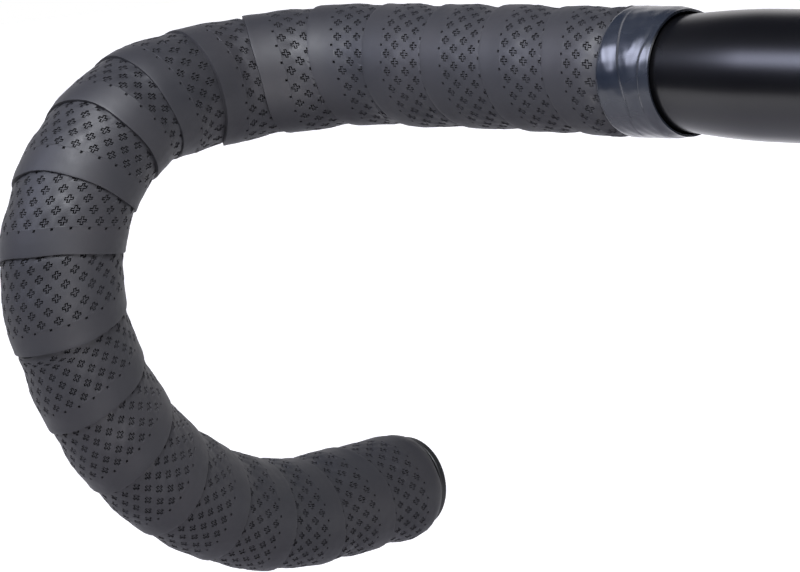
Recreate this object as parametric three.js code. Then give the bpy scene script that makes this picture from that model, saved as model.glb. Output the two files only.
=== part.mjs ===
import * as THREE from "three";

// Drop handlebar of a road bicycle, wrapped in padded bar tape, in millimetres.
// The origin is the middle of the bar, where the stem clamps it: +Z is up, -Y is forward and -X is the
// rider's right. A station is a distance along the bar's centreline from the middle. The shapes are made
// for the right half, and the left half mirrors them, so the two tapes are wound in opposite senses.

// Centreline of one half: top, corner, ramp, hook and drop, in order from the middle
const BAR_WIDTH = 420; // between the centrelines of the two ramps
const CORNER_RADIUS = 40;
const RAMP_LENGTH = 6;
const RAMP_FALL_DEG = 6;
const HOOK_RADIUS = 41;
const HOOK_SWEEP_DEG = 102;
const DROP_RADIUS = 102;
const DROP_END_LENGTH = 33; // straight end, parallel to the bicycle
const FLARE_DEG = 6; // the hook's plane leans out at the bottom

// Tube
const CLAMP_DIAMETER = 31.8;
const CLAMP_WIDTH = 92;
const TAPER_LENGTH = 62; // from the clamp's diameter to the grip's
const GRIP_DIAMETER = 23.8;
const TUBE_WALL = 2;

// Bar tape, wound from the bar's end towards the stem, so each turn's exposed edge faces the bar's end
const TAPE_THICKNESS = 3.5; // a lap's layers, pressed together
const BEND_SWELL = 0.35; // thicker where turns crowd together, from the corner to the hook's end
const DROP_STRETCH = 0.45; // thinner along the drop, where the tape is pulled tightest
const LAP_RISE = 0.6; // how far a turn stands over the one beneath it
const TURN_PITCH = 20.1;
const FIRST_EDGE = 106.5; // station where the first exposed edge crosses the bar's front
const HOOK_TURN_PITCH = 15.1; // turns lie closer on the hook's centreline, for an even lap outside it
const HOOK_TURNS_START = 8; // past the hook's start
const HOOK_TURNS_LENGTH = 46;
const CORNER_LEAN = 7; // how far an edge runs ahead on the inside of the corner
const HOOK_LEAN = 2.5;
const LEAN_RAMP = 30; // length over which a lean comes and goes
const LAP_FOOT = 0.2; // shares of a turn where its surface starts to rise,
const LAP_CREST = 0.5; // is at its full height,
const LAP_EDGE = 0.97; // and ends at the exposed edge
const TAPE_END_THICKNESS = 1.5; // squeezed under the finishing tape
const BULGE_LENGTH = 4; // the tape swells to its full height past the finishing tape
const TUCK_THICKNESS = 1.2; // the tape's first turn folded into the bar's end
const TUCK_DEPTH = 12;
const END_ROUNDING = 4;

// Finishing tape
const FINISH_START = 71.5;
const FINISH_WIDTH = 18;
const FINISH_THICKNESS = 0.7;
const FINISH_ON_BAR = 7.5; // part of its width beside the bar tape
const FINISH_LIP = 3.5; // part of that which stands off the bar, towards the stem

// End plug
const FLANGE_DIAMETER = 26;
const FLANGE_THICKNESS = 2.4;
const FLANGE_ROUNDING = 0.9;
const FLANGE_DOME = 0.6;
const BARREL_LENGTH = 20;
const BARREL_WALL = 1.6;
const RIB_HEIGHT = 0.7;
const RIB_WIDTH = 2;
const RIB_COUNT = 3;

const GAP = 0.3; // clearance between pieces that touch
const SIDES = 18; // facets round every section
const ARC_STEP_DEG = 12.5;
const TAPER_STEPS = 5;

const FORWARD = new THREE.Vector3(0, -1, 0);
const UP = new THREE.Vector3(0, 0, 1);

function smoothstep(t) {
  return THREE.MathUtils.smoothstep(t, 0, 1);
}

// Direction in the hook's plane, turned down from straight ahead.
function hookDirection(degrees) {
  const flare = THREE.MathUtils.degToRad(FLARE_DEG);
  const turn = THREE.MathUtils.degToRad(degrees);
  const down = new THREE.Vector3(-Math.sin(flare), 0, -Math.cos(flare));
  return FORWARD.clone().multiplyScalar(Math.cos(turn)).addScaledVector(down, Math.sin(turn));
}

// Straight runs and arcs laid end to end. Each keeps the frame it starts in: the way it runs and an "up"
// that turns with the path but never twists about it.
class BarPath {
  constructor() {
    this.pieces = [];
    this.length = 0;
    this.end = { point: new THREE.Vector3(), along: new THREE.Vector3(-1, 0, 0), up: UP.clone() };
  }

  straight(length) {
    return this.add({ ...this.end, start: this.length, length });
  }

  bendTo(direction, radius) {
    const angle = this.end.along.angleTo(direction);
    const axis = this.end.along.clone().cross(direction).normalize();
    return this.add({ ...this.end, start: this.length, length: radius * angle, radius, axis, angle });
  }

  add(piece) {
    this.pieces.push(piece);
    this.length += piece.length;
    this.end = this.frameIn(piece, piece.length);
    return piece;
  }

  frameIn(piece, run) {
    if (!piece.axis) {
      const point = piece.point.clone().addScaledVector(piece.along, run);
      return { point, along: piece.along, up: piece.up };
    }
    const angle = run / piece.radius;
    const inward = piece.axis.clone().cross(piece.along);
    const point = piece.point
      .clone()
      .addScaledVector(piece.along, piece.radius * Math.sin(angle))
      .addScaledVector(inward, piece.radius * (1 - Math.cos(angle)));
    const along = piece.along.clone().applyAxisAngle(piece.axis, angle);
    const up = piece.up.clone().applyAxisAngle(piece.axis, angle);
    return { point, along, up };
  }

  // Frame at a station, on the left half where the station is negative.
  frameAt(station) {
    const run = Math.abs(station);
    const piece = this.pieces.findLast((p) => p.start <= run + 1e-9);
    const frame = this.frameIn(piece, run - piece.start);
    const side = frame.along.clone().cross(frame.up);
    const mirror = new THREE.Vector3(station < 0 ? -1 : 1, 1, 1);
    return { point: frame.point.multiply(mirror), up: frame.up.clone().multiply(mirror), side: side.multiply(mirror) };
  }

  surfacePoint(station, angle, radius) {
    const { point, up, side } = this.frameAt(station);
    return point.addScaledVector(up, radius * Math.cos(angle)).addScaledVector(side, radius * Math.sin(angle));
  }
}

const path = new BarPath();
path.straight(BAR_WIDTH / 2 - CORNER_RADIUS);
const corner = path.bendTo(hookDirection(RAMP_FALL_DEG), CORNER_RADIUS);
path.straight(RAMP_LENGTH);
const hook = path.bendTo(hookDirection(RAMP_FALL_DEG + HOOK_SWEEP_DEG), HOOK_RADIUS);
path.bendTo(hookDirection(180), DROP_RADIUS);
path.straight(DROP_END_LENGTH);

const CLAMP_END = CLAMP_WIDTH / 2;

function barRadius(station) {
  const taper = smoothstep((Math.abs(station) - CLAMP_END) / TAPER_LENGTH);
  return THREE.MathUtils.lerp(CLAMP_DIAMETER, GRIP_DIAMETER, taper) / 2;
}

// Stations where the bar's surface needs a ring, with both limits.
function stationsBetween(from, to) {
  const stops = [from, to];
  for (let i = 0; i <= TAPER_STEPS; i++) stops.push(CLAMP_END + (TAPER_LENGTH * i) / TAPER_STEPS);
  for (const piece of path.pieces) {
    const steps = piece.axis ? Math.ceil(THREE.MathUtils.radToDeg(piece.angle) / ARC_STEP_DEG) : 1;
    for (let i = 0; i < steps; i++) stops.push(piece.start + (piece.length * i) / steps);
  }
  const inside = stops.filter((s) => s >= from && s <= to).sort((a, b) => a - b);
  return inside.filter((s, i) => i === 0 || s - inside[i - 1] > 1e-6);
}

// Gathers vertices and faces of one closed solid. Rings run round the bar, and a chain of rings joins each
// to the next.
class SolidBuilder {
  constructor() {
    this.positions = [];
    this.faces = [];
  }

  vertex(station, angle, radius) {
    this.positions.push(...path.surfacePoint(station, angle, radius).toArray());
    return this.positions.length / 3 - 1;
  }

  ring(station, radius) {
    return Array.from({ length: SIDES }, (_, j) => this.vertex(station, (2 * Math.PI * j) / SIDES, radius));
  }

  triangle(a, b, c) {
    if (a !== b && b !== c && c !== a) this.faces.push(a, b, c);
  }

  quad(a, b, c, d) {
    this.triangle(a, b, c);
    this.triangle(a, c, d);
  }

  joinRings(rings) {
    for (let i = 0; i + 1 < rings.length; i++) {
      for (let j = 0; j < SIDES; j++) {
        const next = (j + 1) % SIDES;
        this.quad(rings[i][j], rings[i][next], rings[i + 1][next], rings[i + 1][j]);
      }
    }
  }

  // A sleeve whose section is a closed outline of [station, radius] points, outer side first.
  sleeve(outline) {
    const rings = outline.map(([station, radius]) => this.ring(station, radius));
    this.joinRings([...rings, rings[0]]);
    return this;
  }

  geometry() {
    const geometry = new THREE.BufferGeometry();
    geometry.setAttribute("position", new THREE.Float32BufferAttribute(this.positions, 3));
    geometry.setIndex(this.faces);
    geometry.computeVertexNormals();
    return geometry;
  }
}

// Tube, from end to end
function tubeGeometry() {
  const half = stationsBetween(0, path.length);
  const stations = [...half.slice(1).reverse().map((s) => -s), ...half];
  const outer = stations.map((s) => [s, barRadius(s)]);
  const bore = stations.map((s) => [s, barRadius(s) - TUBE_WALL]).reverse();
  return new SolidBuilder().sleeve([...outer, ...bore]).geometry();
}

// Finishing tape and the tape's squeezed end beneath it
const FINISH_END = FINISH_START + FINISH_WIDTH;
const TAPE_START = FINISH_START + FINISH_ON_BAR + GAP;
const TAPE_COVERED_END = FINISH_END + GAP;
const TAPE_END_RADIUS = barRadius(TAPE_START) + TAPE_END_THICKNESS;
const FINISH_INNER_RADIUS = TAPE_END_RADIUS + GAP;

function finishingTapeGeometry() {
  const step = FINISH_START + FINISH_ON_BAR;
  const seat = FINISH_START + FINISH_LIP;
  const outerRadius = FINISH_INNER_RADIUS + FINISH_THICKNESS;
  const bevel = FINISH_THICKNESS / 2;
  return new SolidBuilder()
    .sleeve([
      [FINISH_START, outerRadius - bevel],
      [FINISH_START + bevel, outerRadius],
      [FINISH_END - bevel, outerRadius],
      [FINISH_END, outerRadius - bevel],
      [FINISH_END, FINISH_INNER_RADIUS],
      [step, FINISH_INNER_RADIUS],
      [step, barRadius(step) + GAP],
      [seat, barRadius(seat) + GAP],
      [FINISH_START, FINISH_INNER_RADIUS],
    ])
    .geometry();
}

function turnPitchAt(station) {
  const start = hook.start + HOOK_TURNS_START;
  const close = station > start && station < start + HOOK_TURNS_LENGTH;
  return close ? HOOK_TURN_PITCH : TURN_PITCH;
}

// Turns counted along the bar, with the first exposed edge at a whole number where it crosses the top.
const TURN_STEP = 0.1;
const turnCount = [];
for (let s = 0, turns = 0; s < path.length + 2 * TURN_PITCH; s += TURN_STEP) {
  turnCount.push(turns);
  turns += TURN_STEP / turnPitchAt(s);
}
const FRONT = 0.75; // share of a turn from the bar's top to its front
const FIRST_EDGE_TURNS = turnCount[Math.round(FIRST_EDGE / TURN_STEP)] - FRONT;

// Station at a count of turns from the first edge.
function stationAtTurns(turns) {
  const wanted = turns + FIRST_EDGE_TURNS;
  if (wanted <= 0) return wanted * TURN_PITCH;
  let low = 0;
  let high = turnCount.length - 1;
  while (high - low > 1) {
    const middle = (low + high) >> 1;
    if (turnCount[middle] <= wanted) low = middle;
    else high = middle;
  }
  const share = (wanted - turnCount[low]) / (turnCount[high] - turnCount[low]);
  return (low + share) * TURN_STEP;
}

// How far an edge runs ahead of an even helix at this angle round the bar.
function leanAt(station, angle) {
  const bends = [
    [corner, CORNER_LEAN],
    [hook, HOOK_LEAN],
  ];
  let lean = 0;
  for (const [bend, size] of bends) {
    const rise = smoothstep((station - bend.start) / LEAN_RAMP);
    const fall = smoothstep((station - bend.start - bend.length) / LEAN_RAMP);
    const inward = bend.axis.clone().cross(bend.along);
    const side = bend.along.clone().cross(bend.up);
    lean += size * (rise - fall) * Math.cos(angle - Math.atan2(inward.dot(side), inward.dot(bend.up)));
  }
  return lean;
}

// Bar tape, one solid with every turn: lapped outside, plain inside, and folded into the bar's end
const LAP_END = path.length - END_ROUNDING;
const LAP_PROFILE = [
  [0, 0],
  [LAP_FOOT, 0],
  [LAP_CREST, LAP_RISE],
  [LAP_EDGE, LAP_RISE],
];
const LEAST_STEP = 0.4; // vertices nearer than this to a limit of the lapped length are moved onto it

function thicknessAt(station) {
  const hookEnd = hook.start + hook.length;
  const swell = smoothstep((station - corner.start) / LEAN_RAMP);
  const thin = smoothstep((station - hookEnd + LEAN_RAMP / 2) / LEAN_RAMP);
  return TAPE_THICKNESS + BEND_SWELL * (swell - thin) - DROP_STRETCH * thin;
}

function lappedRadius(station, rise) {
  const full = barRadius(station) + thicknessAt(station) + rise;
  const swell = smoothstep((station - TAPE_COVERED_END) / BULGE_LENGTH);
  return THREE.MathUtils.lerp(TAPE_END_RADIUS, full, swell);
}

function addLappedSurface(solid, firstRing, lastRing) {
  const rows = LAP_PROFILE.length;
  const known = new Map();

  function vertexAt(row, j) {
    if (j === SIDES) return vertexAt(row + rows, 0);
    const key = row * SIDES + j;
    if (!known.has(key)) {
      const [share, rise] = LAP_PROFILE[((row % rows) + rows) % rows];
      const angle = (2 * Math.PI * j) / SIDES;
      const even = stationAtTurns(Math.floor(row / rows) + share + j / SIDES);
      const station = even + leanAt(even, angle);
      if (station < TAPE_COVERED_END + LEAST_STEP) known.set(key, firstRing[j]);
      else if (station > LAP_END - LEAST_STEP) known.set(key, lastRing[j]);
      else known.set(key, solid.vertex(station, angle, lappedRadius(station, rise)));
    }
    return known.get(key);
  }

  const turns = Math.ceil(path.length / Math.min(TURN_PITCH, HOOK_TURN_PITCH));
  const spare = Math.ceil(FIRST_EDGE / TURN_PITCH) + 1;
  for (let row = -spare * rows; row < turns * rows; row++) {
    for (let j = 0; j < SIDES; j++) {
      solid.quad(vertexAt(row, j), vertexAt(row, j + 1), vertexAt(row + 1, j + 1), vertexAt(row + 1, j));
    }
  }
}

function barTapeGeometry() {
  const solid = new SolidBuilder();
  const thickness = thicknessAt(path.length);
  const outside = barRadius(path.length) + thickness;
  const boreRadius = barRadius(path.length) - TUBE_WALL - GAP;
  const face = path.length + GAP + TUCK_THICKNESS;
  const start = solid.ring(TAPE_START, TAPE_END_RADIUS);
  const covered = solid.ring(TAPE_COVERED_END, TAPE_END_RADIUS);
  const rounded = [0, 1, 2, 3].map((i) => {
    const angle = (Math.PI / 2) * (i / 3);
    const radius = outside - thickness * (1 - Math.cos(angle));
    return solid.ring(LAP_END + (face - LAP_END) * Math.sin(angle), radius);
  });
  const tuck = [
    solid.ring(face, boreRadius - TUCK_THICKNESS),
    solid.ring(path.length - TUCK_DEPTH, boreRadius - TUCK_THICKNESS),
    solid.ring(path.length - TUCK_DEPTH, boreRadius),
    solid.ring(path.length + GAP, boreRadius),
  ];
  const inner = stationsBetween(TAPE_START, path.length + GAP)
    .reverse()
    .map((s) => solid.ring(s, barRadius(s) + GAP));
  solid.joinRings([start, covered]);
  addLappedSurface(solid, covered, rounded[0]);
  solid.joinRings([...rounded, ...tuck, ...inner, start]);
  return solid.geometry();
}

// End plug: a domed flange on a hollow barrel with grip ribs, turned about Y with the barrel towards -Y
function endPlugGeometry() {
  const ribRadius = barRadius(path.length) - TUBE_WALL - 2 * GAP - TUCK_THICKNESS;
  const barrelRadius = ribRadius - RIB_HEIGHT;
  const rim = FLANGE_DIAMETER / 2;
  const outline = [new THREE.Vector2(0, 0), new THREE.Vector2(barrelRadius - BARREL_WALL, 0)];
  outline.push(new THREE.Vector2(barrelRadius - BARREL_WALL, -BARREL_LENGTH));
  outline.push(new THREE.Vector2(barrelRadius, -BARREL_LENGTH));
  const ribSpacing = BARREL_LENGTH / (RIB_COUNT + 1);
  for (let i = RIB_COUNT; i > 0; i--) {
    const middle = -i * ribSpacing;
    outline.push(new THREE.Vector2(barrelRadius, middle - RIB_WIDTH / 2));
    outline.push(new THREE.Vector2(ribRadius, middle));
    outline.push(new THREE.Vector2(barrelRadius, middle + RIB_WIDTH / 2));
  }
  outline.push(new THREE.Vector2(barrelRadius, 0), new THREE.Vector2(rim, 0));
  outline.push(new THREE.Vector2(rim, FLANGE_THICKNESS - FLANGE_ROUNDING));
  outline.push(new THREE.Vector2(rim - 0.3 * FLANGE_ROUNDING, FLANGE_THICKNESS - 0.3 * FLANGE_ROUNDING));
  outline.push(new THREE.Vector2(rim - FLANGE_ROUNDING, FLANGE_THICKNESS));
  outline.push(new THREE.Vector2(rim / 2, FLANGE_THICKNESS + 0.75 * FLANGE_DOME));
  outline.push(new THREE.Vector2(0, FLANGE_THICKNESS + FLANGE_DOME));
  return new THREE.LatheGeometry(outline, SIDES);
}

const aluminium = new THREE.MeshStandardMaterial({ color: 0x141517, roughness: 0.25, metalness: 0.6 });
const foamTape = new THREE.MeshStandardMaterial({ color: 0x3e3e44, roughness: 0.85, metalness: 0 });
const vinylTape = new THREE.MeshStandardMaterial({ color: 0x3c4250, roughness: 0.3, metalness: 0 });
const plugPlastic = new THREE.MeshStandardMaterial({ color: 0x17181a, roughness: 0.5, metalness: 0 });

function mesh(name, geometry, material) {
  const made = new THREE.Mesh(geometry, material);
  made.name = name;
  return made;
}

function half(side) {
  const group = new THREE.Group();
  const plug = mesh(side + "_end_plug", endPlugGeometry(), plugPlastic);
  plug.position.copy(path.end.point).addScaledVector(path.end.along, 2 * GAP + TUCK_THICKNESS);
  plug.quaternion.setFromUnitVectors(new THREE.Vector3(0, 1, 0), path.end.along);
  group.add(mesh(side + "_bar_tape", barTapeGeometry(), foamTape));
  group.add(mesh(side + "_finishing_tape", finishingTapeGeometry(), vinylTape));
  group.add(plug);
  return group;
}

const rightHalf = half("right");
const leftHalf = half("left");
leftHalf.scale.x = -1;

const handlebar = new THREE.Group();
handlebar.add(mesh("handlebar_tube", tubeGeometry(), aluminium), rightHalf, leftHalf);

export default handlebar;
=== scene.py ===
"""Looks of a taped drop handlebar: lapped foam tape with pressed crosses, stretched vinyl finishing tape,
a gloss black tube and moulded end plugs, in plain studio light. Sizes are in millimetres, as stations along
the bar's centreline from its middle, and become metres where a mesh is made."""

import math

import bpy
import numpy as np
from mathutils import Matrix, Vector


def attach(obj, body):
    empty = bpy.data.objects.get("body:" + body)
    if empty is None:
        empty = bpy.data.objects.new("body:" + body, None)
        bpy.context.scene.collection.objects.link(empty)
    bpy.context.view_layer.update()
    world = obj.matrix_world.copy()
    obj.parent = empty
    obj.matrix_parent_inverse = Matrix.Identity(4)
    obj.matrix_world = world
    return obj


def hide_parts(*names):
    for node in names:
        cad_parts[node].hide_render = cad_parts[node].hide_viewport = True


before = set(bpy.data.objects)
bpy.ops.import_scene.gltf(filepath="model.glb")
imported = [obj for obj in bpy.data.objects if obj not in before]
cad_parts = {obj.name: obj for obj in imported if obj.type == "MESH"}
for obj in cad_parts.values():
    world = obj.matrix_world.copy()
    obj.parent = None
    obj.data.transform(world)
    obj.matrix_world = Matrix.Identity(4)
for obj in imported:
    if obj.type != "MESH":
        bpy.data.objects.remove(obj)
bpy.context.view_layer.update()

MM = 0.001
BODY = "root"

# Centreline of one half, from the middle: top, corner, ramp, hook and drop
BAR_WIDTH = 420.0
CORNER_RADIUS = 40.0
RAMP_LENGTH = 6.0
RAMP_FALL_DEG = 6.0
HOOK_RADIUS = 41.0
HOOK_SWEEP_DEG = 102.0
DROP_RADIUS = 102.0
DROP_END_LENGTH = 33.0
FLARE_DEG = 6.0

# Tube
CLAMP_DIAMETER = 31.8
CLAMP_WIDTH = 92.0
TAPER_LENGTH = 62.0
GRIP_DIAMETER = 23.8
TUBE_WALL = 2.0

# Windings of the tape
TURN_PITCH = 20.1
FIRST_EDGE = 106.5
HOOK_TURN_PITCH = 15.1
HOOK_TURNS_START = 8.0
HOOK_TURNS_LENGTH = 46.0
CORNER_LEAN = 7.0
HOOK_LEAN = 2.5
LEAN_RAMP = 30.0
FRONT_TURN = 0.75

# Section of the tape
TAPE_WIDTH = 29.5
TAPE_THICKNESS = 3.5
BEND_SWELL = 0.35
DROP_STRETCH = 0.45
LAP_RISE = 0.6
HIDDEN_FALL = 1.3
TAPE_END_THICKNESS = 1.5
BULGE_LENGTH = 4.0
TUCK_THICKNESS = 1.2
TUCK_DEPTH = 12.0
END_ROUNDING = 4.0
GAP = 0.3

# Finishing tape
FINISH_START = 71.5
FINISH_WIDTH = 18.0
FINISH_THICKNESS = 0.7
FINISH_ON_BAR = 7.5
FINISH_LIP = 3.5

# Crosses pressed into the tape: rows lie across its width, and each is half a step from the next
CROSS_STEP = 4.6
CROSS_ROW = 2.95
CROSS_ROWS = 7
PLAIN_BAND = 7.0
CROSS_REACH = 1.16
CROSS_HALF_ARM = 0.44
CROSS_SINK = 0.1
CROSS_DEPTH = 1.0
CROSS_GROOVE = 0.3
CROSS_MIDDLE_DEPTH = 0.25
DOT_HALF = 0.34


def smoothstep(t):
    t = np.clip(t, 0.0, 1.0)
    return t * t * (3.0 - 2.0 * t)


def lerp(a, b, t):
    return a + (b - a) * t


# Path of the bar


def hook_direction(degrees):
    """Direction in the flared plane of the hook, in degrees down from straight ahead."""
    flare = math.radians(FLARE_DEG)
    turn = math.radians(degrees)
    down = np.array([-math.sin(flare), 0.0, -math.cos(flare)])
    return math.cos(turn) * np.array([0.0, -1.0, 0.0]) + math.sin(turn) * down


class BarPath:
    """The right half's centreline, sampled closely, with a frame that turns with it and never twists."""

    STEP = 0.25
    SPARE = 60.0  # straight run kept past the bar's end
    BEND_BLEND = 8.0  # length over which a bend's stretch sets in

    def __init__(self):
        self.point = np.zeros(3)
        self.along = np.array([-1.0, 0.0, 0.0])
        self.up = np.array([0.0, 0.0, 1.0])
        self.length = 0.0
        self.bends = []
        self.samples = []

    def _keep(self, s, point, along, up):
        self.samples.append(np.concatenate([[s], point, along, up, np.cross(along, up)]))

    def straight(self, length):
        for run in np.linspace(0.0, length, int(length / self.STEP) + 2)[:-1]:
            self._keep(self.length + run, self.point + run * self.along, self.along, self.up)
        self.point = self.point + length * self.along
        self.length += length

    def bend_to(self, direction, radius):
        angle = math.acos(np.clip(self.along @ direction, -1.0, 1.0))
        axis = np.cross(self.along, direction)
        axis /= np.linalg.norm(axis)
        inward = np.cross(axis, self.along)
        side = np.cross(self.along, self.up)
        toward = math.atan2(inward @ side, inward @ self.up)
        end = self.length + radius * angle
        bend = {"start": self.length, "end": end, "radius": radius, "toward": toward}
        self.bends.append(bend)
        axial = axis * (axis @ self.up)
        for turn in np.linspace(0.0, angle, int(radius * angle / self.STEP) + 2):
            point = self.point + radius * (math.sin(turn) * self.along + (1.0 - math.cos(turn)) * inward)
            along = math.cos(turn) * self.along + math.sin(turn) * inward
            up = axial + math.cos(turn) * (self.up - axial) + math.sin(turn) * np.cross(axis, self.up)
            self._keep(self.length + radius * turn, point, along, up)
        self.point, self.along, self.up = point, along, up
        self.length = end
        self.samples.pop()
        return bend

    def finish(self):
        beyond = self.point + self.SPARE * self.along
        self._keep(self.length, self.point, self.along, self.up)
        self._keep(self.length + self.SPARE, beyond, self.along, self.up)
        self.table = np.array(self.samples)

    def frames(self, station):
        columns = [np.interp(station, self.table[:, 0], self.table[:, i]) for i in range(1, 13)]
        stacked = np.stack(columns, axis=-1)
        return stacked[..., 0:3], stacked[..., 3:6], stacked[..., 6:9], stacked[..., 9:12]

    def surface(self, station, angle, radius):
        point, _, up, side = self.frames(station)
        out = np.cos(angle)[..., None] * up + np.sin(angle)[..., None] * side
        return point + radius[..., None] * out

    def stretch(self, station, angle, radius):
        """Length on the surface for each length of centreline, under 1 inside a bend."""
        factor = np.ones_like(station)
        for bend in self.bends:
            before = smoothstep((station - bend["start"]) / self.BEND_BLEND + 0.5)
            after = smoothstep((station - bend["end"]) / self.BEND_BLEND + 0.5)
            share = (before - after) * radius / bend["radius"]
            factor = factor - share * np.cos(angle - bend["toward"])
        return factor


path = BarPath()
path.straight(BAR_WIDTH / 2 - CORNER_RADIUS)
corner = path.bend_to(hook_direction(RAMP_FALL_DEG), CORNER_RADIUS)
path.straight(RAMP_LENGTH)
hook = path.bend_to(hook_direction(RAMP_FALL_DEG + HOOK_SWEEP_DEG), HOOK_RADIUS)
path.bend_to(hook_direction(180.0), DROP_RADIUS)
path.straight(DROP_END_LENGTH)
path.finish()


def bar_radius(station):
    taper = smoothstep((np.abs(station) - CLAMP_WIDTH / 2) / TAPER_LENGTH)
    return lerp(CLAMP_DIAMETER, GRIP_DIAMETER, taper) / 2


TAPE_START = FINISH_START + FINISH_ON_BAR + GAP
TAPE_COVERED_END = FINISH_START + FINISH_WIDTH + GAP
TAPE_END_RADIUS = float(bar_radius(TAPE_START)) + TAPE_END_THICKNESS
LAP_END = path.length - END_ROUNDING
END_FACE = path.length + GAP + TUCK_THICKNESS
END_ARC = 6.5  # length of tape that rolls over the bar's end
END_THINNING = 0.75  # share of its height that the tape loses there
TAPE_RADIUS = 15.7  # of the tape's outside, on average


# Windings: turns are counted along the bar, and an edge lies where the count less its angle is whole


def tape_thickness(station):
    """Thickness of the lapped tape, which swells in the bends and is drawn thinner in the drop."""
    swell = smoothstep((station - corner["start"]) / LEAN_RAMP)
    thin = smoothstep((station - hook["end"] + LEAN_RAMP / 2) / LEAN_RAMP)
    return TAPE_THICKNESS + BEND_SWELL * (swell - thin) - DROP_STRETCH * thin


def waves(angle, parts):
    """Sum of slow waves, each given by its size, its waves for each radian and its phase."""
    return sum(size * np.sin(rate * angle + phase) for size, rate, phase in parts)


TURN_COUNT_STEP = 0.1


def lay_turns():
    """Close stations and the turns counted up to each, for the pitch of each part of the bar."""
    stations = np.arange(0.0, path.length + 4 * TURN_PITCH, TURN_COUNT_STEP)
    start = hook["start"] + HOOK_TURNS_START
    inside = (stations > start) & (stations < start + HOOK_TURNS_LENGTH)
    pitch = np.where(inside, HOOK_TURN_PITCH, TURN_PITCH)
    turns = np.concatenate([[0.0], np.cumsum(TURN_COUNT_STEP / pitch)[:-1]])
    return stations, turns - np.interp(FIRST_EDGE, stations, turns) + FRONT_TURN


TURN_STATIONS, TURN_COUNTS = lay_turns()
HAND_WAVES = ((0.28, 0.83, 0.6), (0.22, 2.31, 0.0), (0.12, 5.7, 0.0))  # unevenness of a winding by hand


def edge_station(winding):
    """Station of the exposed edge at an angle counted on through all the turns, in radians."""
    even = np.interp(winding / (2 * math.pi), TURN_COUNTS, TURN_STATIONS)
    lean = np.zeros_like(even)
    for bend, size in ((corner, CORNER_LEAN), (hook, HOOK_LEAN)):
        rise = smoothstep((even - bend["start"]) / LEAN_RAMP)
        fall = smoothstep((even - bend["end"]) / LEAN_RAMP)
        lean = lean + size * (rise - fall) * np.cos(winding - bend["toward"])
    return even + lean + waves(winding, HAND_WAVES)


# Meshes


def new_object(name, vertices, faces, smooth_deg=35.0, mirror=False):
    """An object from millimetre vertices. A mirrored one is its own left-hand copy."""
    vertices = np.asarray(vertices, dtype=float) * MM
    if mirror:
        vertices = vertices * np.array([-1.0, 1.0, 1.0])
        faces = [tuple(reversed(f)) for f in faces]
    mesh = bpy.data.meshes.new(name)
    mesh.from_pydata(vertices.tolist(), [], [tuple(int(i) for i in f) for f in faces])
    mesh.validate()
    mesh.shade_smooth()
    mesh.set_sharp_from_angle(angle=math.radians(smooth_deg))
    obj = bpy.data.objects.new(name, mesh)
    bpy.context.scene.collection.objects.link(obj)
    return obj


def set_up(obj, node, look):
    obj.data.materials.clear()
    obj.data.materials.append(look)
    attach(obj, BODY)
    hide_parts(node)


def grid_faces(rows, columns, closed_rows=False, closed_columns=False, base=0):
    """Quads over a grid of vertices, row by row, that face outwards when rows run along the bar."""
    faces = []
    for i in range(rows if closed_rows else rows - 1):
        for j in range(columns if closed_columns else columns - 1):
            i2 = (i + 1) % rows
            j2 = (j + 1) % columns
            corners = (i * columns + j, i * columns + j2, i2 * columns + j2, i2 * columns + j)
            faces.append(tuple(base + c for c in corners))
    return faces


# Bar tape


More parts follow.
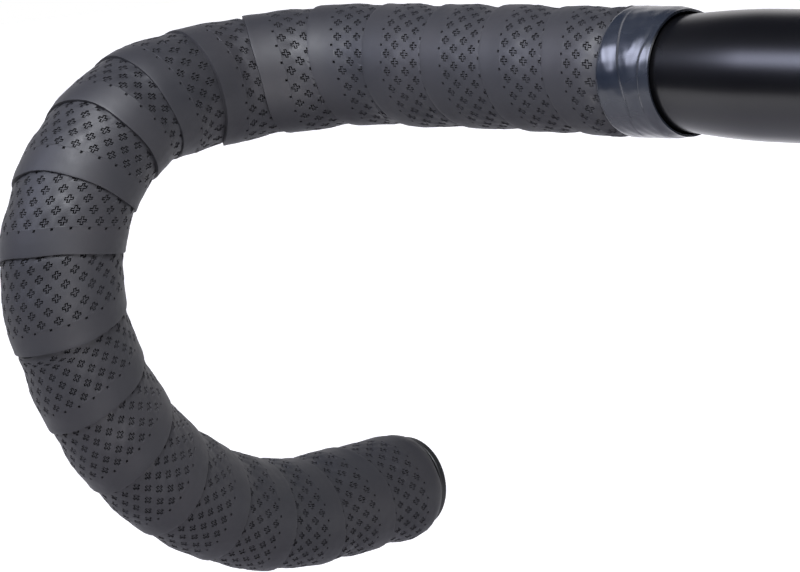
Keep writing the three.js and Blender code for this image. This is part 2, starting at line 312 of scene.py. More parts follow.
class Strip:
    """The wound tape as one strip. A vertex is given by its column along the tape, its distance across from
    the exposed edge, and its height over the bar."""

    FIRST_WINDING = -12.0  # before the strip's cut end
    LAST_WINDING = 2 * math.pi * 26  # past the bar's end
    SAMPLES = 60000
    CUT_MARGIN = 1.0
    STRETCH_LIMITS = (0.45, 1.6)

    def __init__(self):
        fine = np.linspace(self.FIRST_WINDING, self.LAST_WINDING, self.SAMPLES)
        station = edge_station(fine)
        started = station > TAPE_START - self.CUT_MARGIN
        keep = started & (station - TAPE_WIDTH < path.length + END_ARC)
        fine, station = fine[keep], station[keep]
        middle = np.clip(station - TURN_PITCH / 2, 0.0, None)
        on_tape = path.surface(middle, fine, np.full_like(fine, TAPE_RADIUS))
        run = np.concatenate([[0.0], np.cumsum(np.linalg.norm(np.diff(on_tape, axis=0), axis=1))])
        count = int(run[-1] / (CROSS_STEP / 2))
        self.columns = count
        self.windings = np.interp(np.arange(count) * CROSS_STEP / 2, run, fine)

    def winding(self, column):
        return np.interp(column, np.arange(self.columns), self.windings)

    def place(self, column, across, height):
        """Points for arrays of column, distance across and a height function of the share of a turn."""
        winding = self.winding(column)
        edge = edge_station(winding)
        station = self.station(winding, edge, across)
        share = (edge - station) / (edge - edge_station(winding - 2 * math.pi))
        rise = height(share, across, winding, tape_thickness(station)) * settled(station, winding)
        return self.over_end(station, winding, rise)

    def station(self, winding, edge, across):
        """Station of a line that lies this far across the strip, measured on the tape's surface."""
        middle = np.clip(edge - across, 0.0, path.length)
        stretch = path.stretch(middle, winding, TAPE_RADIUS)
        return edge - across / np.clip(stretch, *self.STRETCH_LIMITS)

    @staticmethod
    def over_end(station, winding, rise):
        """Keeps the strip between its cut end and the bar's end, and rolls it over that end."""
        station = np.clip(station, TAPE_START, LAP_END + END_ARC)
        radius = bar_radius(station)
        thickness = tape_thickness(station)
        squeeze = (TAPE_END_RADIUS - radius) / (thickness + LAP_RISE)
        swell = smoothstep((station - TAPE_COVERED_END) / BULGE_LENGTH)
        rise = rise * lerp(np.clip(squeeze, 0.0, 1.0), 1.0, swell)
        turn = np.clip((station - LAP_END) / END_ARC, 0.0, 1.0) * math.pi / 2
        upper = np.clip(rise / thickness, 0.0, 1.0)
        face = lerp(path.length + GAP, END_FACE, upper)
        rolled = np.where(turn > 0.0, LAP_END + (face - LAP_END) * np.sin(turn), station)
        rise = rise * (1.0 - END_THINNING * (1.0 - np.cos(turn)))
        return path.surface(rolled, winding, radius + rise)


SETTLED_SHARE = 0.1  # of its height that the tape gives up on the inside of the hook
SETTLE_RISE = 20.0
SETTLE_EARLY = 0.7  # share of that rise that lies before the hook
SETTLE_FADE = 15.0


def settled(station, angle):
    """Share of its height that the tape keeps on the inside of the hook, where it is drawn tight."""
    start = smoothstep((station - hook["start"]) / SETTLE_RISE + SETTLE_EARLY)
    end = smoothstep((station - hook["end"]) / SETTLE_FADE)
    return 1.0 - SETTLED_SHARE * (start - end) * smoothstep(np.cos(angle - hook["toward"]))


# Height of a turn over the bar. Shares count from a turn's exposed edge, 0, to the next turn's edge, 1
CREST_END = 0.48
CREST_FALL = 0.34
RISE_WAVES = ((0.25, 0.61, 0.0), (0.2, 1.37, 1.0))
EDGE_ROUNDING = 0.06
EDGE_REACH = 0.2
CREASE_DEPTH = 0.4
CREASE_REACH = 0.03
HIDDEN_START = 1.02
HIDDEN_RAMP = 0.4
SWAY_WAVES = ((0.1, 0.9, 0.35), (0.06, 2.7, -0.5))  # with the phase for each millimetre across
SWAY_REACH = 3.0  # distance from the exposed edge at which the slow waves are full
SWAY_END = 0.9
SWAY_FADE = 0.1
LAP_PRESS = 0.25  # how far the underside is pressed into the turn below it
UNDERSIDE_STEP = 0.42  # share at which the underside leaves the turn below it and lies on the bar
UNDERSIDE_RAMP = 0.08
SINK_END = 0.7
SINK_FADE = 0.15


def top_height(share, across, winding, thickness):
    crest = 1.0 - smoothstep((share - CREST_END) / CREST_FALL)
    uneven = 1.0 + waves(winding, RISE_WAVES)
    height = thickness + LAP_RISE * uneven * crest
    height = height - EDGE_ROUNDING * np.exp(-((across / EDGE_REACH) ** 2))
    height = height - CREASE_DEPTH * np.exp(-(((share - 1.0) / CREASE_REACH) ** 2))
    height = height - HIDDEN_FALL * smoothstep((share - HIDDEN_START) / HIDDEN_RAMP)
    sway = waves(winding, [(size, rate, slope * across) for size, rate, slope in SWAY_WAVES])
    inside = smoothstep(across / SWAY_REACH) * (1.0 - smoothstep((share - SWAY_END) / SWAY_FADE))
    return height + sway * inside


def bottom_height(share, across, winding, thickness):
    lapped = thickness - LAP_PRESS - HIDDEN_FALL * smoothstep(share / HIDDEN_RAMP)
    return lerp(lapped, GAP, smoothstep((share - UNDERSIDE_STEP) / UNDERSIDE_RAMP))


def rim_height(share, across, winding, thickness):
    """The foam falls a little towards each cross, but not beside the crease at the next turn."""
    fall = CROSS_SINK * (1.0 - smoothstep((share - SINK_END) / SINK_FADE))
    return top_height(share, across, winding, thickness) - fall


def pressed(depth):
    return lambda *place: top_height(*place) - depth


# Distances across the strip at which its plain band and its underside have lines of vertices
BAND_ROWS = (0.0, 0.15, 0.5, 1.4, 2.8, PLAIN_BAND - CROSS_ROW)
BOTTOM_ROWS = (0.0, 4.0, 8.5, 10.5, 20.0, TAPE_WIDTH)


# Recesses are laid out in cells two half-steps wide and one row high, with the cell's own corners as
# vertices 0 to 5, the rim's after them, and the floor's numbered from 0 again
PLUS_RING = [
    (1, 2, 6), (6, 2, 7), (7, 2, 8),
    (2, 3, 9), (2, 9, 8),
    (3, 4, 11), (3, 11, 10), (3, 10, 9),
    (4, 12, 11),
    (4, 5, 12), (5, 13, 12), (5, 14, 13),
    (5, 0, 15), (5, 15, 14),
    (0, 1, 17), (0, 17, 16), (0, 16, 15),
    (1, 6, 17),
]
DOT_RING = [(0, 1, 6), (1, 2, 7, 6), (2, 3, 8, 7), (3, 4, 8), (4, 5, 9, 8), (5, 0, 6, 9)]
DOT_MIDDLE = 0.86  # place of a dot across its row
DOT_FLOOR = 0.6  # its floor's size against its rim's


def in_cell(x, y, middle=0.5):
    return 1.0 + x / (CROSS_STEP / 2), middle + y / CROSS_ROW


def plus_outline(reach, half):
    corners = [(half, -reach), (half, -half), (reach, -half), (reach, half), (half, half), (half, reach)]
    corners += [(-x, -y) for x, y in corners]
    return [in_cell(x, y) for x, y in corners]


def plus_floor():
    """The inner side of the groove round a cross, from its bottom's 12 vertices to 12 more, and the flat
    cross inside it."""
    side = [(i, 12 + i, 12 + (i - 1) % 12, (i - 1) % 12) for i in range(12)]
    flat = [(1, 4, 7, 10), (11, 0, 1, 10), (1, 2, 3, 4), (4, 5, 6, 7), (7, 8, 9, 10)]
    return side + [tuple(12 + i for i in face) for face in flat]


def dot_outline(half):
    return [in_cell(x * half, y * half, DOT_MIDDLE) for x, y in ((-1, -1), (1, -1), (1, 1), (-1, 1))]


class Recess:
    """Outline of a pressed shape at its rim, floor and raised middle, and the faces round and in it."""

    def __init__(self, rim, ring, floor, floor_faces, middle=()):
        self.rim = rim
        self.ring = ring
        self.floor = floor
        self.floor_faces = floor_faces
        self.middle = middle


PLUS = Recess(
    plus_outline(CROSS_REACH, CROSS_HALF_ARM),
    PLUS_RING,
    plus_outline(CROSS_REACH - CROSS_GROOVE / 2, CROSS_HALF_ARM - CROSS_GROOVE / 2),
    plus_floor(),
    plus_outline(CROSS_REACH - CROSS_GROOVE, CROSS_HALF_ARM - CROSS_GROOVE),
)
DOT = Recess(dot_outline(DOT_HALF), DOT_RING, dot_outline(DOT_FLOOR * DOT_HALF), [(0, 1, 2, 3)])

TAPE_SMOOTH_DEG = 38.0
EDGE_MARGIN = 1.6  # how far under the next turn's edge cells still get their recess
COVER_MARGIN = 1.0
END_MARGIN = 2.0
SLEEVE_SIDES = 64
SLEEVE_RIM = 0.9  # how far the folded-in sleeve stands over the bar's outside
FLAT_SPREAD = 1e-4  # faces smaller than this were squeezed flat


def tape_mesh(name, mirror):
    """One closed strip: its underside, its plain band, the rows of pressed shapes and its hidden part."""
    strip = Strip()
    columns = np.arange(strip.columns, dtype=float)
    points = []
    faces = []
    count = 0

    def add(column, across, height):
        nonlocal count
        points.append(strip.place(np.asarray(column, float), np.asarray(across, float), height))
        first = count
        count += len(points[-1])
        return first

    def join(upper, lower):
        for c in range(strip.columns - 1):
            faces.append((upper + c, lower + c, lower + c + 1, upper + c + 1))

    def level(across, height):
        return add(columns, np.full(strip.columns, across), height)

    bottom = [level(w, bottom_height) for w in BOTTOM_ROWS]
    band = [level(w, top_height) for w in BAND_ROWS]
    rows = [band[-1]]
    levels = [BAND_ROWS[-1]]
    for i in range(CROSS_ROWS + 1):
        levels.append(PLAIN_BAND + i * CROSS_ROW)
        rows.append(level(levels[-1], top_height))
    last = level(TAPE_WIDTH, top_height)

    join(bottom[0], band[0])
    for upper, lower in zip(band, band[1:]):
        join(upper, lower)
    for i in range(len(rows) - 1):
        add_row(strip, add, faces, (rows[i], rows[i + 1]), levels[i], (i + 1) % 2, PLUS if i else DOT)
    join(rows[-1], last)
    join(last, bottom[-1])
    for upper, lower in zip(reversed(bottom), reversed(bottom[:-1])):
        join(upper, lower)
    return finish_tape(name, np.concatenate(points), faces, mirror)


def shows(strip, column, across):
    """Whether a cell lies clear of the next turn, the finishing tape and the bar's end."""
    winding = strip.winding(column)
    edge = edge_station(winding)
    station = strip.station(winding, edge, across)
    clear = station > edge_station(winding - 2 * math.pi) - EDGE_MARGIN
    return clear & (station > TAPE_COVERED_END - COVER_MARGIN) & (station < LAP_END + END_MARGIN)


def add_row(strip, add, faces, sides, level, offset, recess):
    """One row of cells between two levels of the strip, with a recess in each cell that shows."""
    upper, lower = sides
    starts = np.arange(offset, strip.columns - 2, 2)
    shown = starts[shows(strip, starts + 1.0, level + CROSS_ROW / 2)]

    def add_points(outline, height):
        column = (shown[:, None] + np.array([x for x, _ in outline])[None]).ravel()
        across = np.tile(level + CROSS_ROW * np.array([y for _, y in outline]), len(shown))
        return add(column, across, height)

    size = len(recess.rim)
    rim = add_points(recess.rim, rim_height)
    floor = add_points(recess.floor, pressed(CROSS_DEPTH))
    middle = add_points(recess.middle, pressed(CROSS_MIDDLE_DEPTH)) if recess.middle else 0
    for k, c in enumerate(shown):
        cell = [upper + c + i for i in (0, 1, 2)] + [lower + c + i for i in (2, 1, 0)]
        edge = [rim + k * size + i for i in range(size)]
        deep = [floor + k * size + i for i in range(size)]
        faces.extend(turned(cell + edge, recess.ring))
        faces.extend((edge[i - 1], deep[i - 1], deep[i], edge[i]) for i in range(size))
        deep += [middle + k * len(recess.middle) + i for i in range(len(recess.middle))]
        faces.extend(turned(deep, recess.floor_faces))
    plain = np.ones(strip.columns - 1, dtype=bool)
    plain[shown] = False
    plain[shown + 1] = False
    faces.extend((upper + c, lower + c, lower + c + 1, upper + c + 1) for c in np.flatnonzero(plain))


def turned(vertices, faces):
    """Faces given by places in a list of vertices, in the other order so that they face outwards."""
    return [tuple(vertices[i] for i in reversed(face)) for face in faces]


def finish_tape(name, points, faces, mirror):
    """Drops the faces that were squeezed flat at the strip's ends, and adds the sleeve folded into the
    bar."""
    kept = []
    for face in faces:
        corners = points[list(face)]
        spread = corners.max(axis=0) - corners.min(axis=0)
        if spread.max() > FLAT_SPREAD:
            kept.append(face)
    bar_end = float(bar_radius(path.length))
    bore = bar_end - TUBE_WALL - GAP
    outline = [
        (END_FACE, bar_end + SLEEVE_RIM),
        (END_FACE, bore - TUCK_THICKNESS),
        (path.length - TUCK_DEPTH, bore - TUCK_THICKNESS),
        (path.length - TUCK_DEPTH, bore),
        (path.length + GAP, bore),
        (path.length + GAP, bar_end + SLEEVE_RIM),
    ]
    sleeve, sleeve_faces = revolved(outline, SLEEVE_SIDES, base=len(points))
    vertices = np.concatenate([points, sleeve])
    return new_object(name, vertices, kept + sleeve_faces, TAPE_SMOOTH_DEG, mirror)


def revolved(outline, sides, base=0, closed=True):
    """Rings round the bar at (station, radius) pairs, joined in order."""
    angle = np.arange(sides) * 2 * math.pi / sides
    rings = [path.surface(np.full(sides, s), angle, np.full(sides, r)) for s, r in outline]
    return np.concatenate(rings), grid_faces(len(rings), sides, closed, True, base)


# Finishing tape


def bump(value, width):
    return np.exp(-((value / width) ** 2))


def turn_from(angle, degrees):
    """Signed angle from a direction round the bar, in degrees."""
    return np.degrees((angle - math.radians(degrees) + math.pi) % (2 * math.pi) - math.pi)


def near(angle, degrees, spread):
    """1 at a direction round the bar, in degrees, and falling away on both sides of it."""
    return bump(turn_from(angle, degrees), spread)


def sink(distance, slow, quick):
    """1 at a step in the band. It sets in over the quick length before the step and fades over the slow
    length past it."""
    return np.where(distance > 0, 1.0 - smoothstep(distance / slow), smoothstep(distance / quick + 1.0))


def moved(station, angle, moves):
    """Station of a line round the bar. A move is given by its size, its direction and its spread."""
    return station + sum(size * near(angle, degrees, spread) for size, degrees, spread in moves)


FINISH_OUTER = TAPE_END_RADIUS + GAP + FINISH_THICKNESS
LIP_FALL = 0.55  # how far the edge nearest the stem is pulled in
LIP_START = 1.0
LIP_LENGTH = 4.0
BAND_SIDES = 240
BAND_RINGS = 91
BAND_FRONT = 288.0  # direction round the bar, in degrees
BAND_RISE = 0.06
BAND_FRONT_SPREAD = 38.0

# The layer that ends over the bar tape, the fold nearer the stem, and the thin edge nearest the stem
LAYER_STATION = 83.6
LAYER_MOVES = ((-2.0, 247.0, 34.0), (3.4, 350.0, 40.0))
LAYER_DEPTH = 0.52
LAYER_LENGTHS = (4.4, 1.1)
LAYER_STEP = 0.07
FOLD_STATION = 76.6
FOLD_SLANT = 1.5
FOLD_SLANT_DEG = 26.0
FOLD_DEPTH = 0.38
FOLD_LENGTHS = (3.4, 0.8)
EDGE_STATION = 74.2
EDGE_MOVES = ((-0.9, 250.0, 26.0), (4.0, 180.0, 30.0))
EDGE_STEP = 0.06
THIN_EDGE = 0.3  # length over which a thin edge steps down
PLAIN_FRONT = (320.0, 55.0)  # direction and spread of the part without thin edges
DENT_DEPTH = 0.22
DENT_DIRECTION = (250.0, 7.0)
DENT_STATION = 77.0
DENT_LENGTH = 0.8
END_PULL = 0.45  # how far the edge at the bar tape is pulled in
END_PULL_LENGTH = 0.5
START_INSET = 1.0
START_SLANT = (0.6, -0.8)  # for the cosine and the sine of the angle round the bar
END_OVERRUN = 0.2
END_DIP = 0.5
END_DIP_DIRECTION = (285.0, 50.0)
SEAT_RAMP = 1.0
SEAT_DROP = 0.6
LIP_BEVEL = 0.1
BAND_SMOOTH_DEG = 50.0
# Size, waves for each radian, phase for each millimetre of station, and phase
PULL_WAVES = ((0.025, 7, 0.9, 0.0), (0.018, 13, -1.9, 1.0), (0.012, 29, 0.6, 0.0))


def finish_radius(station, angle):
    """Outside of the vinyl tape. At the bar's front it sinks slowly and rises in a step over the bar tape's
    end, does so again at a fold nearer the stem, and falls to its edge. Two thin edges show lower down."""
    front = near(angle, BAND_FRONT, BAND_FRONT_SPREAD)
    low = 1.0 - near(angle, *PLAIN_FRONT)
    layer = station - moved(LAYER_STATION, angle, LAYER_MOVES)
    edge = station - moved(EDGE_STATION, angle, EDGE_MOVES)
    fold = station - (FOLD_STATION - FOLD_SLANT * smoothstep(turn_from(angle, BAND_FRONT) / FOLD_SLANT_DEG))
    sinks = LAYER_DEPTH * sink(layer, *LAYER_LENGTHS) + FOLD_DEPTH * sink(fold, *FOLD_LENGTHS)
    radius = FINISH_OUTER + BAND_RISE - front * sinks
    radius = radius - LIP_FALL * (1.0 - smoothstep((station - FINISH_START - LIP_START) / LIP_LENGTH))
    radius = radius + LAYER_STEP * low * (smoothstep(layer / THIN_EDGE + 0.5) - 1.0)
    radius = radius + EDGE_STEP * low * (smoothstep(edge / THIN_EDGE + 0.5) - 1.0)
    dent = near(angle, *DENT_DIRECTION) * bump(station - DENT_STATION, DENT_LENGTH)
    radius = radius - DENT_DEPTH * dent
    pulls = [(size, rate, slope * station + phase) for size, rate, slope, phase in PULL_WAVES]
    radius = radius + waves(angle, pulls)
    return radius - END_PULL * bump(station - FINISH_START - FINISH_WIDTH, END_PULL_LENGTH)


def finishing_tape(name, mirror):
    """The band's outside, cut a little aslant at both ends, and its inside, which lies on the bar tape,
    steps down to the tube and comes up again to the lip."""
    sides = BAND_SIDES
    angle = np.arange(sides) * 2 * math.pi / sides
    upward, sideways = START_SLANT
    start = FINISH_START + START_INSET + upward * np.cos(angle) + sideways * np.sin(angle)
    end = FINISH_START + FINISH_WIDTH + END_OVERRUN - END_DIP * near(angle, *END_DIP_DIRECTION)
    rings = []
    for share in np.linspace(0.0, 1.0, BAND_RINGS):
        station = lerp(start, end, share)
        rings.append(path.surface(station, angle, finish_radius(station, angle)))
    step = FINISH_START + FINISH_ON_BAR
    seat = FINISH_START + FINISH_LIP
    inner = TAPE_END_RADIUS + GAP
    inside = [
        (end, inner),
        (np.full(sides, step), inner),
        (np.full(sides, step), float(bar_radius(step)) + GAP),
        (np.full(sides, seat + SEAT_RAMP), float(bar_radius(seat)) + GAP),
        (np.full(sides, seat), inner - SEAT_DROP),
        (start + LIP_BEVEL, inner - LIP_FALL + LIP_BEVEL),
    ]
    rings += [path.surface(station, angle, np.full(sides, radius)) for station, radius in inside]
    faces = grid_faces(len(rings), sides, True, True)
    return new_object(name, np.concatenate(rings), faces, BAND_SMOOTH_DEG, mirror)


# Tube and plugs


ROUND_SIDES = 96  # of the tube and the plugs
TAPER_RINGS = 25
BEND_RING_DEG = 3.0
TUBE_SMOOTH_DEG = 40.0


def bar_tube(name):
    """The whole bent tube with its bore. Stations under 0 are the left half, mirrored from the right."""
    sides = ROUND_SIDES
    angle = np.arange(sides) * 2 * math.pi / sides
    marks = [0.0, CLAMP_WIDTH / 2, path.length]
    marks += list(np.linspace(CLAMP_WIDTH / 2, CLAMP_WIDTH / 2 + TAPER_LENGTH, TAPER_RINGS))
    for bend in path.bends:
        sweep = math.degrees((bend["end"] - bend["start"]) / bend["radius"])
        marks += list(np.linspace(bend["start"], bend["end"], int(sweep / BEND_RING_DEG) + 2))
    half = np.unique(np.round(marks, 4))
    stations = np.concatenate([-half[:0:-1], half])
    outer = [(s, float(bar_radius(s))) for s in stations]
    bore = [(s, float(bar_radius(s)) - TUBE_WALL) for s in stations[::-1]]
    rings = []
    for s, r in outer + bore:
        ring = path.surface(np.full(sides, abs(s)), angle, np.full(sides, r))
        rings.append(ring * np.array([-1.0 if s < 0 else 1.0, 1.0, 1.0]))
    faces = grid_faces(len(rings), sides, True, True)
    return new_object(name, np.concatenate(rings), faces, TUBE_SMOOTH_DEG)


FLANGE_RADIUS = 13.3
FLANGE_THICKNESS = 2.4
FLANGE_DOME = 0.6
FLANGE_ROUNDING = 0.9
FLANGE_BEVEL = 0.2
FLANGE_FLOOR = 0.6  # depth of the barrel's floor in the flange
BARREL_LENGTH = 20.0
BARREL_WALL = 1.6
RIB_HEIGHT = 0.7
RIB_COUNT = 3
RIB_FOOT = 1.0  # half a rib's width, at the barrel and at its tip
RIB_TIP = 0.2
ROUNDING_RINGS = 7
DOME_SHARES = np.linspace(0.85, 0.1, 8)  # radii of the dome's rings, against its rim's


def end_plug(name, mirror):
    """A domed flange on a hollow ribbed barrel, turned from one outline that starts at its floor."""
    back = END_FACE + GAP
    rib = float(bar_radius(path.length)) - TUBE_WALL - 2 * GAP - TUCK_THICKNESS
    barrel = rib - RIB_HEIGHT
    floor_station = back + FLANGE_FLOOR
    outline = [(floor_station, barrel - BARREL_WALL)]
    outline += [(back - BARREL_LENGTH, barrel - BARREL_WALL), (back - BARREL_LENGTH, barrel)]
    for i in range(RIB_COUNT, 0, -1):
        middle = back - i * BARREL_LENGTH / (RIB_COUNT + 1)
        outline += [(middle - RIB_FOOT, barrel), (middle - RIB_TIP, rib)]
        outline += [(middle + RIB_TIP, rib), (middle + RIB_FOOT, barrel)]
    outline += [(back, barrel), (back, FLANGE_RADIUS - FLANGE_BEVEL), (back + FLANGE_BEVEL, FLANGE_RADIUS)]
    for turn in np.linspace(0.0, math.pi / 2, ROUNDING_RINGS):
        s = back + FLANGE_THICKNESS - FLANGE_ROUNDING * (1 - math.sin(turn))
        outline.append((s, FLANGE_RADIUS - FLANGE_ROUNDING * (1 - math.cos(turn))))
    for share in DOME_SHARES:
        s = back + FLANGE_THICKNESS + FLANGE_DOME * (1 - share ** 2)
        outline.append((s, share * (FLANGE_RADIUS - FLANGE_ROUNDING)))
    rings, faces = revolved(outline, ROUND_SIDES, closed=False)
    stations = np.array([floor_station, back + FLANGE_THICKNESS + FLANGE_DOME])
    middles = path.surface(stations, np.zeros(2), np.zeros(2))
    floor, top = len(rings), len(rings) + 1
    outer = len(rings) - ROUND_SIDES
    for i in range(ROUND_SIDES):
        j = (i + 1) % ROUND_SIDES
        faces.append((floor, j, i))
        faces.append((top, outer + i, outer + j))
    return new_object(name, np.concatenate([rings, middles]), faces, mirror=mirror)


# Materials


def material(name):
    made = bpy.data.materials.new(name)
    made.use_nodes = True
    nodes, links = made.node_tree.nodes, made.node_tree.links
    return made, nodes, links, nodes["Principled BSDF"]


def object_place(nodes):
    return nodes.new("ShaderNodeTexCoord").outputs["Object"]


def noise(nodes, links, place, scale, detail=3.0, roughness=0.55):
    node = nodes.new("ShaderNodeTexNoise")
    node.inputs["Scale"].default_value = scale
    node.inputs["Detail"].default_value = detail
    node.inputs["Roughness"].default_value = roughness
    links.new(place, node.inputs["Vector"])
    return node.outputs["Fac"]


def ramp(nodes, links, source, stops):
    node = nodes.new("ShaderNodeValToRGB")
    while len(node.color_ramp.elements) < len(stops):
        node.color_ramp.elements.new(0.5)
    for element, (place, colour) in zip(node.color_ramp.elements, stops):
        element.position = place
        element.color = (*colour, 1.0)
    links.new(source, node.inputs["Fac"])
    return node.outputs["Color"]


def grey(value):
    return value, value, value


def bumps(nodes, links, shader, layers):
    """Chains bump nodes: each layer is a height source, its strength and its depth in metres."""
    normal = None
    for source, strength, distance in layers:
        node = nodes.new("ShaderNodeBump")
        node.inputs["Strength"].default_value = strength
        node.inputs["Distance"].default_value = distance
        links.new(source, node.inputs["Height"])
        if normal is not None:
            links.new(normal, node.inputs["Normal"])
        normal = node.outputs["Normal"]
    links.new(normal, shader.inputs["Normal"])


def foam_material():
    made, nodes, links, shader = material("foam_tape")
    place = object_place(nodes)
    broad = noise(nodes, links, place, 45.0)
    grain = noise(nodes, links, place, 2600.0, 2.0, 0.6)
    mottle = noise(nodes, links, place, 420.0, 4.0, 0.6)
    colour = ramp(nodes, links, broad, [(0.3, (0.0152, 0.0155, 0.0183)), (0.7, (0.0197, 0.0191, 0.0217))])
    links.new(colour, shader.inputs["Base Color"])
    rough = ramp(nodes, links, mottle, [(0.3, grey(0.51)), (0.7, grey(0.61))])
    links.new(rough, shader.inputs["Roughness"])
    shader.inputs["Specular IOR Level"].default_value = 0.3
    bumps(nodes, links, shader, [(mottle, 0.12, 0.0002), (grain, 0.18, 0.0001)])
    return made


def vinyl_material():
    made, nodes, links, shader = material("vinyl_tape")
    place = object_place(nodes)
    stretched = nodes.new("ShaderNodeMapping")
    stretched.inputs["Scale"].default_value = (1.0, 3.0, 3.0)
    links.new(place, stretched.inputs["Vector"])
    pulled = noise(nodes, links, stretched.outputs["Vector"], 55.0, roughness=0.5)
    fine = noise(nodes, links, place, 700.0)
    colour = ramp(nodes, links, pulled, [(0.3, (0.007, 0.009, 0.014)), (0.7, (0.011, 0.013, 0.018))])
    links.new(colour, shader.inputs["Base Color"])
    rough = ramp(nodes, links, pulled, [(0.35, grey(0.22)), (0.7, grey(0.3))])
    links.new(rough, shader.inputs["Roughness"])
    shader.inputs["Specular IOR Level"].default_value = 0.62
    bumps(nodes, links, shader, [(pulled, 0.15, 0.0004), (fine, 0.05, 0.0001)])
    return made


def tube_material():
    made, nodes, links, shader = material("black_aluminium")
    place = object_place(nodes)
    speckle = noise(nodes, links, place, 1500.0, 2.0)
    cloud = noise(nodes, links, place, 30.0)
    colour = ramp(nodes, links, cloud, [(0.3, (0.001, 0.001, 0.0013)), (0.7, (0.0016, 0.0016, 0.002))])
    links.new(colour, shader.inputs["Base Color"])
    rough = ramp(nodes, links, cloud, [(0.3, grey(0.25)), (0.7, grey(0.28))])
    links.new(rough, shader.inputs["Roughness"])
    shader.inputs["Specular IOR Level"].default_value = 0.5
    bumps(nodes, links, shader, [(speckle, 0.05, 0.00003)])
    return made


def plug_material():
    made, nodes, links, shader = material("plug_plastic")
    place = object_place(nodes)
    grain = noise(nodes, links, place, 1800.0, 2.0)
    cloud = noise(nodes, links, place, 120.0)
    colour = ramp(nodes, links, cloud, [(0.3, (0.004, 0.004, 0.0045)), (0.7, (0.006, 0.006, 0.0065))])
    links.new(colour, shader.inputs["Base Color"])
    shader.inputs["Roughness"].default_value = 0.48
    shader.inputs["Specular IOR Level"].default_value = 0.3
    bumps(nodes, links, shader, [(grain, 0.2, 0.00008)])
    return made


# Camera, as the photograph was taken: long lens, from in front, a little above and from the bar's middle

CAMERA_AZIMUTH = 43.13
CAMERA_ELEVATION = 8.88
CAMERA_ROLL = -3.21
CAMERA_DISTANCE = 902.75
CAMERA_AIM = (-152.42, -22.15, -54.41)
FOCAL_PIXELS = 3518.4
PHOTO_WIDTH = 800.0
SENSOR_WIDTH = 36.0


def view_direction(azimuth, elevation):
    """Direction from the bar to a place, in degrees round from straight ahead and degrees up."""
    az, el = math.radians(azimuth), math.radians(elevation)
    return Vector((math.sin(az) * math.cos(el), -math.cos(az) * math.cos(el), math.sin(el)))


def add_camera():
    az, roll = math.radians(CAMERA_AZIMUTH), math.radians(CAMERA_ROLL)
    back = view_direction(CAMERA_AZIMUTH, CAMERA_ELEVATION)
    level = Vector((math.cos(az), math.sin(az), 0.0))
    above = back.cross(level)
    right = math.cos(roll) * level + math.sin(roll) * above
    top = back.cross(right)
    data = bpy.data.cameras.new("photo_camera")
    data.sensor_width = SENSOR_WIDTH
    data.lens = FOCAL_PIXELS / PHOTO_WIDTH * SENSOR_WIDTH
    data.clip_start = 0.01
    data.clip_end = 100.0
    camera = bpy.data.objects.new("photo_camera", data)
    bpy.context.scene.collection.objects.link(camera)
    place = (Vector(CAMERA_AIM) + CAMERA_DISTANCE * back) * MM
    turn = Matrix((right, top, back)).transposed().to_4x4()
    camera.matrix_world = Matrix.Translation(place) @ turn
    bpy.context.scene.camera = camera


# Studio round the bar, as directions from it: a pale sweep behind, dark above and in front, and a softbox
# at the left of the camera that puts the streak on the tube

SWEEP_DIRECTION = (-0.684, 0.73, 0.0)
SIDE_BOX = (-0.41, -0.76, 0.51)
SIDE_BOX_DEG = (3.0, 17.8)  # from its middle to where it fades out
SWEEP_STEP = (0.2, 0.5)
SWEEP_TOP = (0.65, 0.4)
BELOW_STEP = (-0.27, -0.46)
WHITE = (1.0, 1.0, 1.0, 1.0)
PALE = (1.06, 1.04, 1.07, 1.0)
DARK = (0.02, 0.024, 0.042, 1.0)
SIDE_LIGHT = (11.0, 11.6, 15.0, 1.0)


class SkyNodes:
    """Small helpers for maths on the direction that a ray of the world's light comes from."""

    def __init__(self, tree):
        self.nodes, self.links = tree.nodes, tree.links
        coordinates = self.nodes.new("ShaderNodeTexCoord")
        self.direction = coordinates.outputs["Generated"]

    def towards(self, direction):
        node = self.nodes.new("ShaderNodeVectorMath")
        node.operation = "DOT_PRODUCT"
        self.links.new(self.direction, node.inputs[0])
        node.inputs[1].default_value = Vector(direction).normalized()
        return node.outputs["Value"]

    def step(self, value, low, high):
        """0 where the value is under low and 1 where it is over high, or the other way round."""
        node = self.nodes.new("ShaderNodeMapRange")
        node.interpolation_type = "SMOOTHSTEP"
        node.inputs["From Min"].default_value = min(low, high)
        node.inputs["From Max"].default_value = max(low, high)
        node.inputs["To Min"].default_value = 0.0 if low < high else 1.0
        node.inputs["To Max"].default_value = 1.0 if low < high else 0.0
        self.links.new(value, node.inputs["Value"])
        return node.outputs["Result"]

    def combine(self, operation, first, second):
        node = self.nodes.new("ShaderNodeMath")
        node.operation = operation
        self.links.new(first, node.inputs[0])
        self.links.new(second, node.inputs[1])
        return node.outputs["Value"]

    def blend(self, kind, factor, first, second):
        """Mixes two colours, each a socket or a fixed colour."""
        node = self.nodes.new("ShaderNodeMix")
        node.data_type = "RGBA"
        node.blend_type = kind
        self.links.new(factor, node.inputs["Factor"])
        for socket, colour in ((node.inputs["A"], first), (node.inputs["B"], second)):
            if isinstance(colour, tuple):
                socket.default_value = colour
            else:
                self.links.new(colour, socket)
        return node.outputs["Result"]

    def box(self, direction, full_degrees, end_degrees):
        full, end = (math.cos(math.radians(angle)) for angle in (full_degrees, end_degrees))
        return self.step(self.towards(direction), end, full)


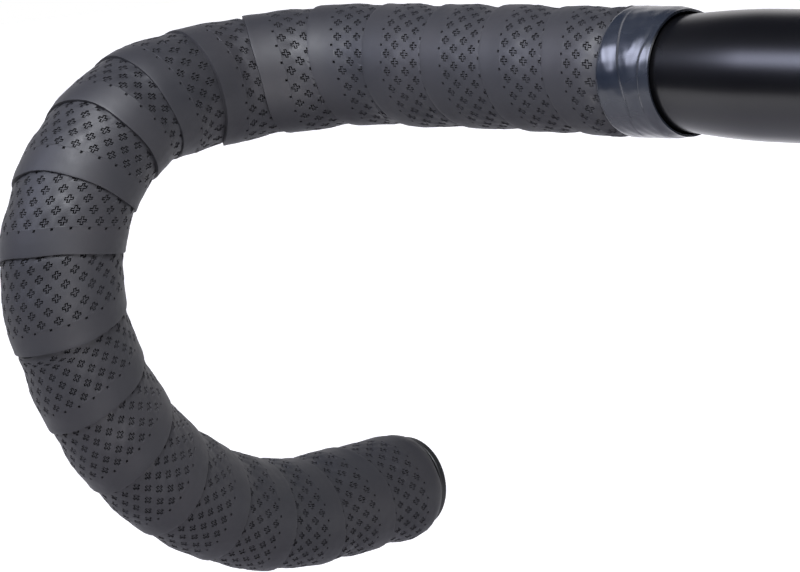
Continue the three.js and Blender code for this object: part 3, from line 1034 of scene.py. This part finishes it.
def add_world():
    world = bpy.data.worlds.new("studio")
    bpy.context.scene.world = world
    world.use_nodes = True
    tree = world.node_tree
    sky = SkyNodes(tree)
    height = sky.towards((0.0, 0.0, 1.0))
    below = sky.step(height, *BELOW_STEP)
    sweep = sky.step(sky.towards(SWEEP_DIRECTION), *SWEEP_STEP)
    behind = sky.combine("MULTIPLY", sweep, sky.step(height, *SWEEP_TOP))
    light = sky.blend("MIX", sky.combine("MAXIMUM", below, behind), DARK, PALE)
    light = sky.blend("ADD", sky.box(SIDE_BOX, *SIDE_BOX_DEG), light, SIDE_LIGHT)
    seen = tree.nodes.new("ShaderNodeLightPath")
    light = sky.blend("MIX", seen.outputs["Is Camera Ray"], light, WHITE)
    tree.links.new(light, tree.nodes["Background"].inputs["Color"])


BOX_DISTANCE = 0.8
BOX_SIZE = 0.36


def add_softbox(name, turn, elevation, power, colour):
    """A square light that faces the taped half, some degrees round from the camera."""
    target = Vector(CAMERA_AIM) * MM
    toward = view_direction(CAMERA_AZIMUTH + turn, elevation)
    data = bpy.data.lights.new(name, "AREA")
    data.size = BOX_SIZE
    data.energy = power
    data.color = colour
    light = bpy.data.objects.new(name, data)
    bpy.context.scene.collection.objects.link(light)
    light.location = target + BOX_DISTANCE * toward
    light.rotation_euler = toward.to_track_quat("Z", "Y").to_euler()
    light.visible_camera = False


FLOOR_DEPTH = 0.55
FLOOR_HALF = 6.0
FLOOR_FRONT = 1.05
FLOOR_COLOUR = (0.61, 0.59, 0.61, 1.0)
# Painted glow of the floor: none within GLOW_START of the spot beneath the bar, which leaves painted shade
# there, and full from GLOW_END outwards
GLOW_START = 0.35
GLOW_END = 1.2
GLOW_STRENGTH = 0.9


def add_floor():
    """A pale floor well below the bar. It glows towards its rim, a painted light, and not right beneath the
    bar, where the missing glow is a painted soft shadow.
    """
    mesh = bpy.data.meshes.new("floor")
    half, front = FLOOR_HALF, -FLOOR_FRONT
    ends = ((-half, front), (half, front), (half, half), (-half, half))
    mesh.from_pydata([(x, y, -FLOOR_DEPTH) for x, y in ends], [], [(0, 1, 2, 3)])
    floor = bpy.data.objects.new("floor", mesh)
    bpy.context.scene.collection.objects.link(floor)
    made, nodes, links, shader = material("floor_paint_with_painted_glow")
    # Painted light: the emission grows with distance from the spot beneath the bar, so the floor glows
    # though it is no lamp and stays dark under the bar as painted shade
    reach = nodes.new("ShaderNodeVectorMath")
    reach.operation = "DISTANCE"
    links.new(object_place(nodes), reach.inputs[0])
    reach.inputs[1].default_value = (0.0, 0.0, -FLOOR_DEPTH)
    glow = nodes.new("ShaderNodeMapRange")
    glow.interpolation_type = "SMOOTHSTEP"
    glow.inputs["From Min"].default_value = GLOW_START
    glow.inputs["From Max"].default_value = GLOW_END
    glow.inputs["To Min"].default_value = 0.0
    glow.inputs["To Max"].default_value = GLOW_STRENGTH
    links.new(reach.outputs["Value"], glow.inputs["Value"])
    links.new(glow.outputs["Result"], shader.inputs["Emission Strength"])
    shader.inputs["Emission Color"].default_value = WHITE
    shader.inputs["Base Color"].default_value = FLOOR_COLOUR
    shader.inputs["Roughness"].default_value = 1.0
    shader.inputs["Specular IOR Level"].default_value = 0.0
    mesh.materials.append(made)


def build():
    add_camera()
    foam = foam_material()
    vinyl = vinyl_material()
    plastic = plug_material()
    set_up(bar_tube("bar_tube"), "handlebar_tube", tube_material())
    for side, mirror in (("right", False), ("left", True)):
        set_up(tape_mesh(side + "_wound_tape", mirror), side + "_bar_tape", foam)
        set_up(finishing_tape(side + "_vinyl_band", mirror), side + "_finishing_tape", vinyl)
        set_up(end_plug(side + "_push_plug", mirror), side + "_end_plug", plastic)


def light_scene():
    scene = bpy.context.scene
    scene.view_settings.view_transform = "Standard"
    add_world()
    add_floor()
    add_softbox("front_box", turn=-15.0, elevation=50.0, power=16.5, colour=(0.93, 0.95, 1.0))
    add_softbox("low_box", turn=10.0, elevation=-20.0, power=3.7, colour=(1.0, 0.98, 1.0))


build()
light_scene()
